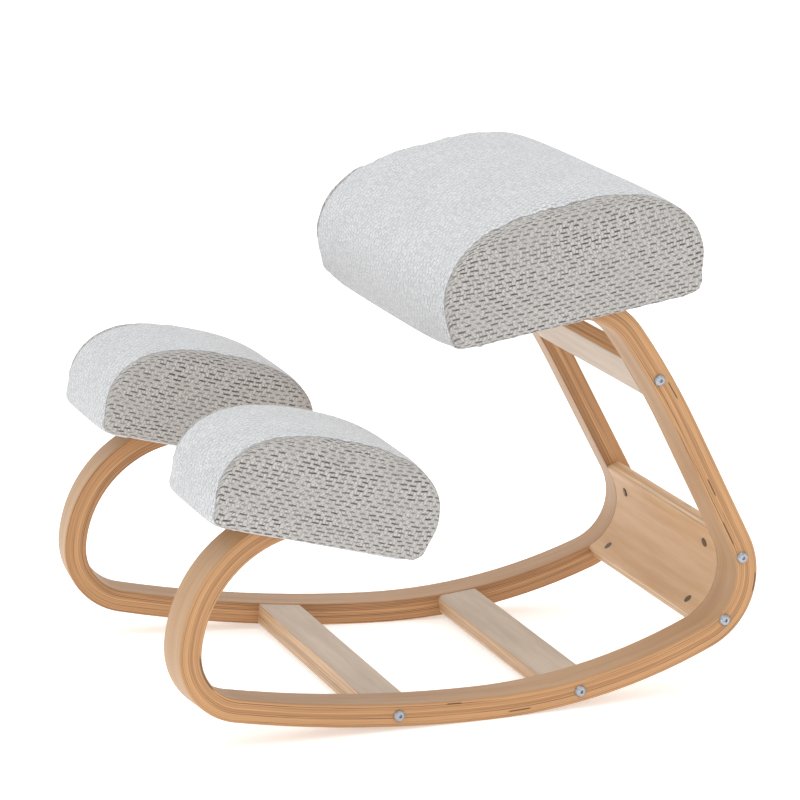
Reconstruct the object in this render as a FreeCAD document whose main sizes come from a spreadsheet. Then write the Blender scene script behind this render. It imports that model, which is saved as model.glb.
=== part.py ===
"""Rocking kneeling chair: two bent laminated rails, four cross members, a seat and two knee pads.

Frame: +Z up, the chair faces -Y, +X is the sitter's left. The origin is on the floor,
at the middle of the chair's length and width. Everything is in millimetres and degrees.
"""
import FreeCAD, Part
import math
import os

import Sketcher
from FreeCAD import Placement, Rotation, Vector

# Driving sizes: name, value, what it is.
SIZES = [
    # The rails. Each is one strip, listed from the tip under the seat round to the tip under the knee pad.
    ("rail_thickness", 25, "laminated strip, across the plies"),
    ("rail_width", 48, "laminated strip, along the plies"),
    ("rail_edge_round", 2, "rounding of the strip's four long edges"),
    ("outer_width", 462, "over the rails' outer faces, at mid length"),
    ("toe_angle", 5.26, "each rail turns in towards the back by this"),
    ("rest_lean", -0.27, "how far the chair stands tipped forward on its runners"),
    ("seat_tongue", 72, "straight end that the seat is screwed to"),
    ("seat_bend_radius", 80, "bend under the seat, to the strip's middle"),
    ("seat_bend_turn", 64.3, ""),
    ("seat_ease_radius", 890, "the leg's first, barely bent length"),
    ("seat_ease_turn", 8.4, ""),
    ("rear_leg", 145, "straight sloping leg"),
    ("rear_bend_radius", 74.4, "bend at the back, near the floor"),
    ("rear_bend_turn", 94.2, ""),
    ("heel_radius", 655, "curved runner behind the resting point"),
    ("heel_turn", 23.2, ""),
    ("runner_radius", 1524, "flatter curved runner in front of the resting point"),
    ("runner_turn", 11.05, ""),
    ("front_bend_radius", 64.6, "bend at the front, near the floor"),
    ("front_bend_turn", 83.5, ""),
    ("knee_rise_radius", 139, "sweep up and back to the knee pad"),
    ("knee_rise_turn", 71, ""),
    ("knee_shoulder_radius", 60, "last bend, hidden in the pad's recess"),
    ("knee_shoulder_turn", 28, ""),
    ("knee_tongue", 66, "straight end that the knee pad is screwed to"),
    # Cross members, placed by their distance along the rail from the resting point or a bend's end.
    ("slat_depth", 48, "front and middle slat, along the rail"),
    ("slat_thickness", 23, ""),
    ("slat_setdown", 1, "slats' top below the rails' upper face"),
    ("front_slat_station", 109, "in front of the resting point"),
    ("middle_slat_station", 104, "behind the resting point"),
    ("front_slat_round", 1.5, "eased long edges"),
    ("middle_slat_round", 6, "rounded long edges"),
    ("top_brace_station", 70, "above the straight leg"),
    ("top_brace_height", 50, "along the leg"),
    ("top_brace_thickness", 20, ""),
    ("top_brace_round", 2, ""),
    ("back_brace_thickness", 16, "curved board in the rear bend"),
    ("back_brace_rise", 12, "straight part above the bend"),
    ("back_brace_low_turn", 5, "left free at the bend's lower end"),
    ("back_brace_round", 3, ""),
    # Frame fixings.
    ("screw_shank", 6, "connecting screws"),
    ("screw_head", 13, "button head across"),
    ("screw_head_height", 3.6, ""),
    ("hex_socket", 4, "across flats"),
    ("hex_socket_deep", 2.2, ""),
    ("screw_clearance", 0.4, "hole over shank, across"),
    ("nut_inset", 32, "rail's inner face to a barrel nut"),
    ("screw_past_nut", 6, "screw's end beyond the barrel nut's middle"),
    ("barrel_nut_across", 10, ""),
    ("barrel_nut_length", 12, ""),
    ("barrel_nut_play", 0.1, "hole over nut, across"),
    ("thread_play", 0.04, "threaded hole over screw, across"),
    ("dowel_across", 8, ""),
    ("dowel_length", 30, "half in the rail, half in the cross member"),
    ("dowel_play", 0.06, "hole over dowel, across and at each end"),
    ("dowel_spread", 28, "between the two dowels at one end"),
    ("brace_screw_high", 14, "upper back brace screw, degrees above the bend's level"),
    ("brace_screw_low", 47, "lower back brace screw, degrees below it"),
    # Pad fixings.
    ("pad_screw_spread", 44, "between the two screws in a seat tongue"),
    ("knee_screw_spread", 36, "between the two screws in a knee tongue"),
    ("pad_screw_edge", 16, "rail's tip to the nearer screw"),
    ("counterbore_across", 18, "in the tongue's underside"),
    ("counterbore_deep", 7, ""),
    ("washer_across", 16, ""),
    ("washer_thickness", 1.6, ""),
    ("tee_flange_across", 19, ""),
    ("tee_flange_thickness", 1.5, ""),
    ("tee_barrel_across", 9, ""),
    ("tee_barrel_length", 9, "under the flange"),
    # Pads. Each board lies on the tongues, and the foam rim hangs down past it to hide them.
    ("board_thickness", 12, ""),
    ("board_corner", 24, "corner radius"),
    ("board_gap", 0.6, "board over the tongues, which slope across it because they are toed in"),
    ("rim_thickness", 15, "pad's front, back and corners in to the recess"),
    ("cover_thickness", 2, "fabric"),
    ("seat_overhang", 4, "seat's sides beyond the rails' outer faces"),
    ("seat_width", "=outer_width + 2 * seat_overhang", ""),
    ("seat_front", 145, "seat's middle to its front"),
    ("seat_rear", 152, "seat's middle to its back"),
    ("seat_height", 128, "lower edge to crown"),
    ("seat_widest", 34, "lower edge to the fullest level"),
    ("seat_forward", -10.4, "seat's middle in front of the tongue's root"),
    ("seat_drop", 27, "tongue's upper face down to the seat's lower edge"),
    ("seat_side_rim", 6.5, "seat's sides in to the recess"),
    ("knee_width", 184, ""),
    ("knee_front", 112, "pad's middle to its front"),
    ("knee_rear", 132, "pad's middle to its back"),
    ("knee_height", 114, ""),
    ("knee_widest", 36, ""),
    ("knee_forward", 15, "pad's middle in front of the tongue's root"),
    ("knee_drop", 24, "tongue's upper face down to the pad's lower edge"),
    ("knee_side_rim", 15, "pad's sides in to the recess"),
    ("lower_corner", 25, "rounding of the pads' lower front and back edges"),
    ("wall_draw_in", 3, "front and back walls, from the fullest level down to that rounding"),
    ("end_draw_in", 0.975, "outline at a side seam, as a share of the middle's"),
]

doc = FreeCAD.newDocument("kneeling_chair")
sheet = doc.addObject("Spreadsheet::Sheet", "Sizes")
for row, (name, value, note) in enumerate(SIZES, start=1):
    sheet.set(f"A{row}", name)
    sheet.set(f"B{row}", str(value))
    sheet.set(f"C{row}", note)
    sheet.setAlias(f"B{row}", name)
doc.recompute()


def size(name):
    return float(getattr(sheet, name))


def turned(y, z, angle):
    """(y, z) turned by an angle in degrees."""
    c, s = math.cos(math.radians(angle)), math.sin(math.radians(angle))
    return y * c - z * s, y * s + z * c


# The rail's middle line, in its own plane: u along the chair, z up. Travel is from the seat tip to the knee
# tip, and every bend turns to the right, so the outside of the strip is always on the left.
LINE, ARC = "line", "arc"
SEGMENTS = [
    ("seat_tongue", LINE),
    ("seat_bend", ARC),
    ("seat_ease", ARC),
    ("rear_leg", LINE),
    ("rear_bend", ARC),
    ("heel", ARC),
    ("runner", ARC),
    ("front_bend", ARC),
    ("knee_rise", ARC),
    ("knee_shoulder", ARC),
    ("knee_tongue", LINE),
]


def trace(u, z, heading):
    """Each segment's start, end, headings and, for a bend, its centre, keyed by name."""
    path = {}
    for name, kind in SEGMENTS:
        seg = {"kind": kind, "start": (u, z), "from": heading}
        if kind == LINE:
            seg["length"] = size(name)
            du, dz = turned(seg["length"], 0, heading)
            u, z = u + du, z + dz
        else:
            radius, turn = size(name + "_radius"), size(name + "_turn")
            du, dz = turned(0, -radius, heading)
            seg["centre"] = (u + du, z + dz)
            seg["radius"], seg["length"] = radius, radius * math.radians(turn)
            heading -= turn
            du, dz = turned(0, radius, heading)
            u, z = seg["centre"][0] + du, seg["centre"][1] + dz
        seg["end"], seg["to"] = (u, z), heading
        path[name] = seg
    return path


half_strip = size("rail_thickness") / 2
toe = size("toe_angle")
before_rest = [name for name, kind in SEGMENTS[:6] if kind == ARC]
turns_before_rest = sum(size(name + "_turn") for name in before_rest)
start_heading = -180 + size("rest_lean") + turns_before_rest
rough = trace(0, 0, start_heading)
rest_u, rest_z = rough["heel"]["end"]
back_reach = rough["rear_bend"]["centre"][0] + rough["rear_bend"]["radius"] + half_strip - rest_u
front_arc = rough["front_bend"] if rough["front_bend"]["to"] < -270 else rough["knee_rise"]
front_reach = front_arc["centre"][0] - front_arc["radius"] - half_strip - rest_u
toe_shift = size("rail_width") * math.tan(math.radians(toe))
touching = rough["runner"] if size("rest_lean") > 0 else rough["heel"]
floor_z = touching["centre"][1] - touching["radius"] - half_strip
RAIL = trace(-rest_u - (back_reach + front_reach - toe_shift) / 2, -floor_z, start_heading)


def rail_at(name, distance, outward=0.0):
    """Point and heading on the rail, a distance into a segment and outward from its middle line."""
    seg = RAIL[name]
    if seg["kind"] == LINE:
        heading = seg["from"]
        du, dz = turned(distance, outward, heading)
        return (seg["start"][0] + du, seg["start"][1] + dz), heading
    heading = seg["from"] - math.degrees(distance / seg["radius"])
    du, dz = turned(0, seg["radius"] + outward, heading)
    return (seg["centre"][0] + du, seg["centre"][1] + dz), heading


def rail_placement(side):
    """Where a rail's own frame goes, its origin on the outer face. side is 1 at +X and -1 at -X."""
    return Placement(Vector(side * size("outer_width") / 2, 0, 0), Rotation(Vector(0, 0, 1), side * toe))


def on_rail(side, point, inset=0.0):
    """A point of the rail's plane, inset from the outer face, in the chair's frame."""
    return rail_placement(side).multVec(Vector(-side * inset, *point))


def outward_of(side):
    return rail_placement(side).Rotation.multVec(Vector(side, 0, 0))


def inner_half_width(y):
    """Half the clear width between the rails' inner faces."""
    lean_in = math.radians(toe)
    return size("outer_width") / 2 - size("rail_width") / math.cos(lean_in) - y * math.tan(lean_in)


# Small makers for bodies and sketches.
KEPT = []


def new_body(label, placement=Placement(), kept=True):
    body = doc.addObject("PartDesign::Body", label)
    body.Label = label
    body.Placement = placement
    if kept:
        KEPT.append(body)
    return body


def new_sketch(body, name, plane="YZ_Plane", offset=Placement()):
    sketch = body.newObject("Sketcher::SketchObject", name)
    origin = [f for f in body.Origin.OriginFeatures if f.Role == plane][0]
    sketch.AttachmentSupport = [(origin, "")]
    sketch.MapMode = "FlatFace"
    sketch.AttachmentOffset = offset
    return sketch


def flat(points):
    return [Vector(x, y, 0) for x, y in points]


def add_loop(sketch, points):
    """A closed loop of straight lines."""
    corners = flat(points)
    first = sketch.GeometryCount
    for a, b in zip(corners, corners[1:] + corners[:1]):
        sketch.addGeometry(Part.LineSegment(a, b), False)
    for k in range(len(corners)):
        after = first + (k + 1) % len(corners)
        sketch.addConstraint(Sketcher.Constraint("Coincident", first + k, 2, after, 1))


def add_rectangle(sketch, width, height, width_size, height_size):
    """A rectangle centred on the sketch's origin, its sides bound to two expressions."""
    w, h = width / 2, height / 2
    add_loop(sketch, [(-w, -h), (w, -h), (w, h), (-w, h)])
    for line, kind in ((0, "Horizontal"), (1, "Vertical"), (2, "Horizontal"), (3, "Vertical")):
        sketch.addConstraint(Sketcher.Constraint(kind, line))
    sketch.addConstraint(Sketcher.Constraint("Symmetric", 0, 1, 1, 2, -1, 1))
    for line, value, expression in ((0, width, width_size), (1, height, height_size)):
        index = sketch.addConstraint(Sketcher.Constraint("Distance", line, value))
        sketch.setExpression(f"Constraints[{index}]", expression)


def add_circles(sketch, centres, across_size, across):
    """Circles of one bound size, held at their centres."""
    for x, y in centres:
        g = sketch.addGeometry(Part.Circle(Vector(x, y, 0), Vector(0, 0, 1), across / 2), False)
        index = sketch.addConstraint(Sketcher.Constraint("Diameter", g, across))
        sketch.setExpression(f"Constraints[{index}]", across_size)
        sketch.addConstraint(Sketcher.Constraint("DistanceX", -1, 1, g, 3, x))
        sketch.addConstraint(Sketcher.Constraint("DistanceY", -1, 1, g, 3, y))


def pad(body, sketch, length, name="Pad", middle=False):
    feature = body.newObject("PartDesign::Pad", name)
    feature.Profile = sketch
    feature.setExpression("Length", length)
    feature.SideType = "Symmetric" if middle else "One side"
    doc.recompute()
    return feature


def cut(body, sketch, length=None, name="Pocket", both=False, flip=False):
    """A pocket, to a depth or right through. It always takes something away."""
    before = body.Shape.Volume
    feature = body.newObject("PartDesign::Pocket", name)
    feature.Profile = sketch
    if length is None:
        feature.Type = "ThroughAll"
    else:
        feature.setExpression("Length", length)
    feature.SideType = "Symmetric" if both else "One side"
    feature.Reversed = flip
    doc.recompute()
    if body.Shape.Volume > before - 1e-3:
        raise RuntimeError(f"{body.Label}: {name} cuts nothing")
    return feature


def round_edges(body, base, radius, chosen):
    edges = [f"Edge{k}" for k, e in enumerate(base.Shape.Edges, start=1) if chosen(e)]
    feature = body.newObject("PartDesign::Fillet", "Round")
    feature.Base = (base, edges)
    feature.setExpression("Radius", radius)
    doc.recompute()
    return feature


def across_chair(edge):
    """True for a long straight edge that runs along X."""
    if edge.Curve.TypeId != "Part::GeomLine":
        return False
    return abs(edge.tangentAt(edge.FirstParameter).x) > 0.999 and edge.Length > size("slat_depth")


# The screws through the rails: point in the rail's plane, and what each one holds.
slat_middle = half_strip - size("slat_setdown") - size("slat_thickness") / 2
top_brace_middle = half_strip - size("top_brace_thickness") / 2
brace_inner = size("rear_bend_radius") - half_strip
brace_middle = brace_inner + size("back_brace_thickness") / 2

front_slat_seat = rail_at("runner", size("front_slat_station"), -slat_middle)
middle_slat_seat = rail_at("heel", RAIL["heel"]["length"] - size("middle_slat_station"), -slat_middle)
top_brace_distance = RAIL["seat_ease"]["length"] - size("top_brace_station")
top_brace_seat = rail_at("seat_ease", top_brace_distance, -top_brace_middle)


def on_rear_bend(angle, radius):
    """A point of the rear bend, at an angle above level."""
    du, dz = turned(radius, 0, angle)
    return RAIL["rear_bend"]["centre"][0] + du, RAIL["rear_bend"]["centre"][1] + dz


brace_angles = (size("brace_screw_high"), -size("brace_screw_low"))
SCREWS = {
    "front_slat": [front_slat_seat[0]],
    "middle_slat": [middle_slat_seat[0]],
    "top_brace": [top_brace_seat[0]],
    "back_brace": [on_rear_bend(a, brace_middle) for a in brace_angles],
}


def dowel_points(seat):
    """The two dowels beside a cross member's screw."""
    (u, z), heading = seat
    du, dz = turned(size("dowel_spread") / 2, 0, heading)
    return [(u - du, z - dz), (u + du, z + dz)]


DOWELS = {
    "front_slat": dowel_points(front_slat_seat),
    "middle_slat": dowel_points(middle_slat_seat),
    "top_brace": dowel_points(top_brace_seat),
}


# Rails.
def add_rail_path(sketch):
    """The middle line as tangent lines and arcs, every length, radius and turn bound to its size."""
    last = None
    for index, (name, kind) in enumerate(SEGMENTS):
        seg = RAIL[name]
        if kind == LINE:
            begin, finish = 1, 2
            sketch.addGeometry(Part.LineSegment(*flat([seg["start"], seg["end"]])), False)
        else:
            begin, finish = 2, 1
            circle = Part.Circle(flat([seg["centre"]])[0], Vector(0, 0, 1), seg["radius"])
            low, high = math.radians(seg["to"] + 90), math.radians(seg["from"] + 90)
            sketch.addGeometry(Part.ArcOfCircle(circle, low, high), False)
        if last is None:
            for axis, value in zip("XY", seg["start"]):
                sketch.addConstraint(Sketcher.Constraint("Distance" + axis, -1, 1, index, begin, value))
            sketch.addConstraint(Sketcher.Constraint("Angle", index, math.radians(seg["from"])))
        else:
            sketch.addConstraint(Sketcher.Constraint("Tangent", *last, index, begin))
        if kind == LINE:
            bound = [("Distance", seg["length"], f"Sizes.{name}")]
        else:
            turn = math.radians(seg["from"] - seg["to"])
            bound = [
                ("Radius", seg["radius"], f"Sizes.{name}_radius"),
                ("Angle", turn, f"Sizes.{name}_turn * 1 deg"),
            ]
        for what, value, expression in bound:
            number = sketch.addConstraint(Sketcher.Constraint(what, index, value))
            sketch.setExpression(f"Constraints[{number}]", expression)
        last = (index, finish)


def add_strip_section(sketch):
    """The strip's cross-section: a rectangle with its four corners rounded."""
    w, h, r = size("rail_width") / 2, half_strip, size("rail_edge_round")
    corners = [(w, h, 0), (-w, h, 90), (-w, -h, 180), (w, -h, 270)]
    for x, y, turn in corners:
        cx, cy = x - math.copysign(r, x), y - math.copysign(r, y)
        circle = Part.Circle(Vector(cx, cy, 0), Vector(0, 0, 1), r)
        sketch.addGeometry(Part.ArcOfCircle(circle, math.radians(turn), math.radians(turn + 90)), False)
    ends = [(sketch.Geometry[k].EndPoint, sketch.Geometry[(k + 1) % 4].StartPoint) for k in range(4)]
    for k, (a, b) in enumerate(ends):
        sketch.addGeometry(Part.LineSegment(a, b), False)
        sketch.addConstraint(Sketcher.Constraint("Tangent", k, 2, 4 + k, 1))
        sketch.addConstraint(Sketcher.Constraint("Tangent", 4 + k, 2, (k + 1) % 4, 1))
    for k in (1, 2, 3):
        sketch.addConstraint(Sketcher.Constraint("Equal", 0, k))
    sketch.addConstraint(Sketcher.Constraint("Horizontal", 4))
    sketch.addConstraint(Sketcher.Constraint("Vertical", 5))
    sketch.addConstraint(Sketcher.Constraint("Symmetric", 0, 3, 2, 3, -1, 1))
    for what, args, value, expression in (
        ("Radius", (0,), r, "Sizes.rail_edge_round"),
        ("DistanceX", (1, 3, 0, 3), 2 * (w - r), "Sizes.rail_width - 2 * Sizes.rail_edge_round"),
        ("DistanceY", (2, 3, 1, 3), 2 * (h - r), "Sizes.rail_thickness - 2 * Sizes.rail_edge_round"),
    ):
        number = sketch.addConstraint(Sketcher.Constraint(what, *args, value))
        sketch.setExpression(f"Constraints[{number}]", expression)


def tongue_holes(name, spread, root_first):
    """The points of a tongue's two screws, on its underside."""
    near_tip = size("pad_screw_edge")
    length = RAIL[name]["length"]
    places = [near_tip, near_tip + spread]
    if root_first:
        places = [length - p for p in places]
    return [rail_at(name, p, -half_strip) for p in places]


SEAT_SCREWS = tongue_holes("seat_tongue", size("pad_screw_spread"), False)
KNEE_SCREWS = tongue_holes("knee_tongue", size("knee_screw_spread"), True)


def make_rail(label, side):
    body = new_body(label, rail_placement(side))
    middle = -side * size("rail_width") / 2
    path = new_sketch(body, "Path", offset=Placement(Vector(0, 0, middle), Rotation()))
    add_rail_path(path)
    tip = RAIL["seat_tongue"]
    square_to_tip = Placement(
        Vector(middle, tip["start"][1], -tip["start"][0]), Rotation(Vector(1, 0, 0), tip["from"])
    )
    section = new_sketch(body, "Section", "XZ_Plane", square_to_tip)
    add_strip_section(section)
    doc.recompute()
    sweep = body.newObject("PartDesign::AdditivePipe", "Strip")
    sweep.Profile = section
    sweep.Spine = (path, [f"Edge{k + 1}" for k in range(len(SEGMENTS))])
    sweep.Mode = "Standard"
    sweep.Transition = "Transformed"
    doc.recompute()

    screws = new_sketch(body, "ScrewHoles")
    add_circles(
        screws,
        [p for points in SCREWS.values() for p in points],
        "Sizes.screw_shank + Sizes.screw_clearance",
        size("screw_shank") + size("screw_clearance"),
    )
    cut(body, screws, name="ScrewHolesCut", both=True)
    inner = Placement(Vector(0, 0, -side * size("rail_width")), Rotation())
    dowels = new_sketch(body, "DowelHoles", offset=inner)
    add_circles(
        dowels,
        [p for points in DOWELS.values() for p in points],
        "Sizes.dowel_across + Sizes.dowel_play",
        size("dowel_across") + size("dowel_play"),
    )
    cut(body, dowels, "Sizes.dowel_length / 2 + Sizes.dowel_play", "DowelHolesCut", flip=side > 0)
    for number, ((u, z), heading) in enumerate(SEAT_SCREWS + KNEE_SCREWS, start=1):
        square_to_board = rail_placement(side).Rotation.inverted().multiply(Rotation(Vector(1, 0, 0), heading))
        under = Placement(Vector(middle, u, z), square_to_board)
        for name, across, depth in (
            ("Counterbore", "Sizes.counterbore_across", "Sizes.counterbore_deep"),
            ("PadScrewHole", "Sizes.screw_shank + Sizes.screw_clearance", "Sizes.rail_thickness + 1"),
        ):
            hole = new_sketch(body, f"{name}{number}", "XY_Plane", under)
            value = size("counterbore_across")
            if name == "PadScrewHole":
                value = size("screw_shank") + size("screw_clearance")
            add_circles(hole, [(0, 0)], across, value)
            cut(body, hole, depth, f"{name}{number}Cut", flip=True)
    return body


# Cross members. Each body's frame is at its own middle, turned to the rail's slope there.
def seat_frame(seat):
    (u, z), heading = seat
    y = on_rail(1, (u, z), size("rail_width")).y
    return Placement(Vector(0, y, z), Rotation(Vector(1, 0, 0), heading + 180)), y


def trim_to_rails(body, placement, y_middle, reach):
    """Cuts both ends along the rails' inner faces."""
    level = Placement(Vector(), placement.Rotation.inverted())
    ends = new_sketch(body, "Ends", "XY_Plane", level)
    wide = size("outer_width")
    for side in (1, -1):
        near, far = inner_half_width(y_middle - reach), inner_half_width(y_middle + reach)
        add_loop(ends, [(side * near, -reach), (side * wide, -reach), (side * wide, reach), (side * far, reach)])
    cut(body, ends, name="EndsCut", both=True)


def end_holes(body, label, placement, nut_from_top):
    """Screw, barrel nut and dowel holes in both ends of a cross member."""
    back = placement.inverse()
    for side, tag in ((1, "Left"), (-1, "Right")):
        square = Rotation(Vector(0, 0, 1), outward_of(side))
        for number, point in enumerate(SCREWS[label], start=1):
            face = on_rail(side, point, size("rail_width"))
            hole = new_sketch(body, f"Screw{tag}{number}", "XY_Plane", back.multiply(Placement(face, square)))
            across = size("screw_shank") + size("screw_clearance")
            add_circles(hole, [(0, 0)], "Sizes.screw_shank + Sizes.screw_clearance", across)
            cut(body, hole, "Sizes.nut_inset + 2 * Sizes.screw_past_nut", f"Screw{tag}{number}Cut")
        for number, point in enumerate(DOWELS.get(label, []), start=1):
            face = on_rail(side, point, size("rail_width"))
            hole = new_sketch(body, f"Dowel{tag}{number}", "XY_Plane", back.multiply(Placement(face, square)))
            across = size("dowel_across") + size("dowel_play")
            add_circles(hole, [(0, 0)], "Sizes.dowel_across + Sizes.dowel_play", across)
            cut(body, hole, "Sizes.dowel_length / 2 + Sizes.dowel_play", f"Dowel{tag}{number}Cut")
        for number, nut in enumerate(NUTS[label][side], start=1):
            start = nut.multiply(Placement(Vector(0, 0, -size("barrel_nut_length") / 2), Rotation()))
            hole = new_sketch(body, f"Nut{tag}{number}", "XY_Plane", back.multiply(start))
            across = size("barrel_nut_across") + size("barrel_nut_play")
            add_circles(hole, [(0, 0)], "Sizes.barrel_nut_across + Sizes.barrel_nut_play", across)
            cut(body, hole, nut_from_top, f"Nut{tag}{number}Cut", flip=True)


def nut_places(label, headings):
    """Barrel nuts on the screws' lines, standing along the board's thickness. Local +Z points to the mouth."""
    places = {1: [], -1: []}
    for side in (1, -1):
        for point, opening in zip(SCREWS[label], headings):
            middle = on_rail(side, point, size("rail_width") + size("nut_inset"))
            mouth = Vector(0, *turned(1, 0, opening))
            cross = outward_of(side)
            mouth = (mouth - cross * mouth.dot(cross)).normalize()
            places[side].append(Placement(middle, Rotation(cross, Vector(), mouth, "ZXY")))
    return places


NUTS = {
    "front_slat": nut_places("front_slat", [front_slat_seat[1] + 90]),
    "middle_slat": nut_places("middle_slat", [middle_slat_seat[1] + 90]),
    "top_brace": nut_places("top_brace", [top_brace_seat[1] + 90]),
    "back_brace": nut_places("back_brace", [a + 180 for a in brace_angles]),
}


def make_board(label, seat, depth_size, thickness_size, round_size):
    """A straight cross member: a board with eased long edges."""
    placement, y_middle = seat_frame(seat)
    body = new_body(label, placement)
    section = new_sketch(body, "Section")
    add_rectangle(section, size(depth_size), size(thickness_size), f"Sizes.{depth_size}", f"Sizes.{thickness_size}")
    board = pad(body, section, "Sizes.outer_width", middle=True)
    round_edges(body, board, f"Sizes.{round_size}", across_chair)
    trim_to_rails(body, placement, y_middle, size(depth_size))
    through = f"Sizes.{thickness_size} / 2 + Sizes.barrel_nut_length / 2 + 1"
    end_holes(body, label, placement, through)
    return body


def make_back_brace():
    """The curved board in the rear bend, its hollow face flush with the rails' inner faces."""
    centre_u, centre_z = RAIL["rear_bend"]["centre"]
    y_middle = on_rail(1, (centre_u, centre_z), size("rail_width")).y
    placement = Placement(Vector(0, y_middle, centre_z), Rotation())
    body = new_body("back_brace", placement)
    outline = new_sketch(body, "Outline")
    inner, outer = brace_inner, brace_inner + size("back_brace_thickness")
    top = RAIL["rear_bend"]["from"] + 90
    low = RAIL["rear_bend"]["to"] + 90 + size("back_brace_low_turn")
    rise = size("back_brace_rise")
    for radius in (inner, outer):
        circle = Part.Circle(Vector(), Vector(0, 0, 1), radius)
        outline.addGeometry(Part.ArcOfCircle(circle, math.radians(low), math.radians(top)), False)
    inner_top, outer_top = (turned(r, 0, top) for r in (inner, outer))
    lift = turned(0, rise, top)
    raised = [(p[0] + lift[0], p[1] + lift[1]) for p in (inner_top, outer_top)]
    inner_low, outer_low = (turned(r, 0, low) for r in (inner, outer))
    lines = [(inner_top, raised[0]), (raised[0], raised[1]), (raised[1], outer_top), (outer_low, inner_low)]
    for a, b in lines:
        outline.addGeometry(Part.LineSegment(*flat([a, b])), False)
    inner_arc, outer_arc, inner_rise, top_edge, outer_rise, low_edge = range(6)
    for a, b in (
        ((inner_arc, 2), (inner_rise, 1)),
        ((inner_rise, 2), (top_edge, 1)),
        ((top_edge, 2), (outer_rise, 1)),
        ((outer_rise, 2), (outer_arc, 2)),
        ((outer_arc, 1), (low_edge, 1)),
        ((low_edge, 2), (inner_arc, 1)),
    ):
        outline.addConstraint(Sketcher.Constraint("Coincident", *a, *b))
    for arc in (inner_arc, outer_arc):
        outline.addConstraint(Sketcher.Constraint("Coincident", arc, 3, -1, 1))
    number = outline.addConstraint(Sketcher.Constraint("Radius", inner_arc, inner))
    outline.setExpression(f"Constraints[{number}]", "Sizes.rear_bend_radius - Sizes.rail_thickness / 2")
    number = outline.addConstraint(Sketcher.Constraint("Radius", outer_arc, outer))
    outline.setExpression(
        f"Constraints[{number}]",
        "Sizes.rear_bend_radius - Sizes.rail_thickness / 2 + Sizes.back_brace_thickness",
    )
    board = pad(body, outline, "Sizes.outer_width", middle=True)
    round_edges(body, board, "Sizes.back_brace_round", across_chair)
    trim_to_rails(body, placement, y_middle, outer + rise)
    through = "Sizes.back_brace_thickness / 2 + Sizes.barrel_nut_length / 2 + 1"
    end_holes(body, "back_brace", placement, through)
    return body


# Fasteners. One of each kind is modelled on its own axis, and the groups are copies of it.
def revolved(label, outline):
    """A turned piece about its Z axis, from points (radius, height)."""
    body = new_body(label, kept=False)
    sketch = new_sketch(body, "Outline", "XZ_Plane")
    add_loop(sketch, outline)
    turn = body.newObject("PartDesign::Revolution", "Turned")
    turn.Profile = sketch
    turn.ReferenceAxis = (sketch, ["V_Axis"])
    turn.Angle = 360
    doc.recompute()
    return body


def make_screw(label, length):
    """Button head standing on z = 0, hex socket in its top, shank down."""
    r, head, tall = size("screw_shank") / 2, size("screw_head") / 2, size("screw_head_height")
    crown = [(head, 0), (head, tall * 0.25), (head * 0.86, tall * 0.66), (head * 0.6, tall), (0, tall)]
    chamfer = r / 4
    body = revolved(label, [(0, -length), (r - chamfer, -length), (r, -length + chamfer), (r, 0)] + crown)
    socket = new_sketch(body, "Socket", "XY_Plane", Placement(Vector(0, 0, tall), Rotation()))
    reach = size("hex_socket") / 2 / math.cos(math.radians(30))
    add_loop(socket, [turned(reach, 0, 60 * k) for k in range(6)])
    cut(body, socket, "Sizes.hex_socket_deep", "SocketCut")
    return body


def make_group(label, master, places):
    """Copies of one fastener, as separate solids in one piece of the list."""
    group = doc.addObject("Part::Feature", label)
    group.Label = label
    master_shape = master.Shape.copy()
    copies = []
    for place in places:
        copy = master_shape.copy()
        copy.Placement = place
        copies.append(copy)
    group.Shape = Part.makeCompound(copies)
    KEPT.append(group)
    return group


def pad_screw_place(side, hole):
    """Under a tongue, at the bottom of the counterbore, pointing down."""
    point, heading = hole
    up = Vector(0, *turned(0, 1, heading))
    base = on_rail(side, point, size("rail_width") / 2) + up * size("counterbore_deep")
    return Placement(base, Rotation(Vector(0, 0, 1), up * -1))


# Pads. A pad's frame has its origin on the tongues' upper face, at the root of the tongue, +Y along the
# tongue towards the back and +Z away from the board.
def pad_frame(tongue, at_end, x):
    seg = RAIL[tongue]
    distance = seg["length"] if at_end else 0
    point, heading = rail_at(tongue, distance, half_strip)
    side = 1 if x >= 0 else -1
    y = on_rail(side, point, size("rail_width") / 2).y
    frame = Placement(Vector(x, y, point[1]), Rotation(Vector(1, 0, 0), heading))
    return frame.multiply(Placement(Vector(0, 0, size("board_gap")), Rotation()))


UPPER_POWER = 2.5
QUARTER_STEPS = 6


def pad_outline(front, rear, height, widest, share, grow):
    """A pad's side outline as points: rear wall, crown and front wall, for arcs through each third point.

    The crown is a superellipse above the fullest level. The walls draw in slightly to rounded lower edges.
    """
    crown_middle = (rear - front) / 2 * 0.4
    points = []
    for side, reach in ((1, rear - crown_middle), (-1, front + crown_middle)):
        a, b = (reach - grow) * share, (height - widest - grow) * share
        quarter = []
        for k in range(QUARTER_STEPS + 1):
            t = math.radians(90 * k / QUARTER_STEPS)
            y = a * math.cos(t) ** (2 / UPPER_POWER)
            z = widest + b * math.sin(t) ** (2 / UPPER_POWER)
            quarter.append((crown_middle + side * y, z))
        corner, reach_down = size("lower_corner") - grow, a - size("wall_draw_in")
        eased = corner * (1 - math.cos(math.radians(45)))
        wall = (crown_middle + side * reach_down, size("lower_corner"))
        turn = (crown_middle + side * (reach_down - eased), grow + eased)
        foot = (crown_middle + side * (reach_down - corner), grow)
        ring = {"quarter": quarter, "wall": wall, "corner": turn, "foot": foot}
        points.append(ring)
    return points


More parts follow.
